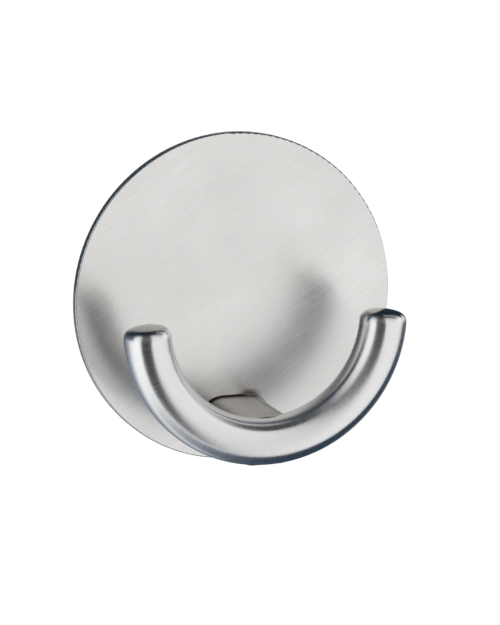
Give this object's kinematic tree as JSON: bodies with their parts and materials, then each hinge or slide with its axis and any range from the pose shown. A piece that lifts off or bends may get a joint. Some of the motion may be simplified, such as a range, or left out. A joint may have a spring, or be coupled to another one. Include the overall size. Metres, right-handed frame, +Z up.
{
  "type": "adhesive wall hook",
  "caption": "Round brushed-steel wall hook on a self-adhesive foam pad, with a half-ring bar standing off the plate on a short stem to hang towels, robes or bags.",
  "frame": {"origin": "centre of the adhesive pad's wall side, on the wall plane", "axes": "+X right along the wall, +Y into the wall, +Z up; the hook stands out of the wall towards -Y"},
  "size_m": [0.057, 0.0228, 0.057],
  "materials": {
    "brushed_plate": "straight-brushed stainless steel",
    "satin_bar": "satin-polished stainless steel",
    "plain_steel": "bright turned steel",
    "white_foam": "closed-cell foam",
    "adhesive_film": "tacky translucent acrylic adhesive"
  },
  "bodies": {
    "root": {"back_plate": "brushed_plate", "stem": "satin_bar", "hook_bar": "satin_bar", "fixing_screw": "plain_steel", "locating_pins": "plain_steel", "foam_core": "white_foam", "plate_side_adhesive": "adhesive_film", "wall_side_adhesive": "adhesive_film"}
  },
  "joints": []
}
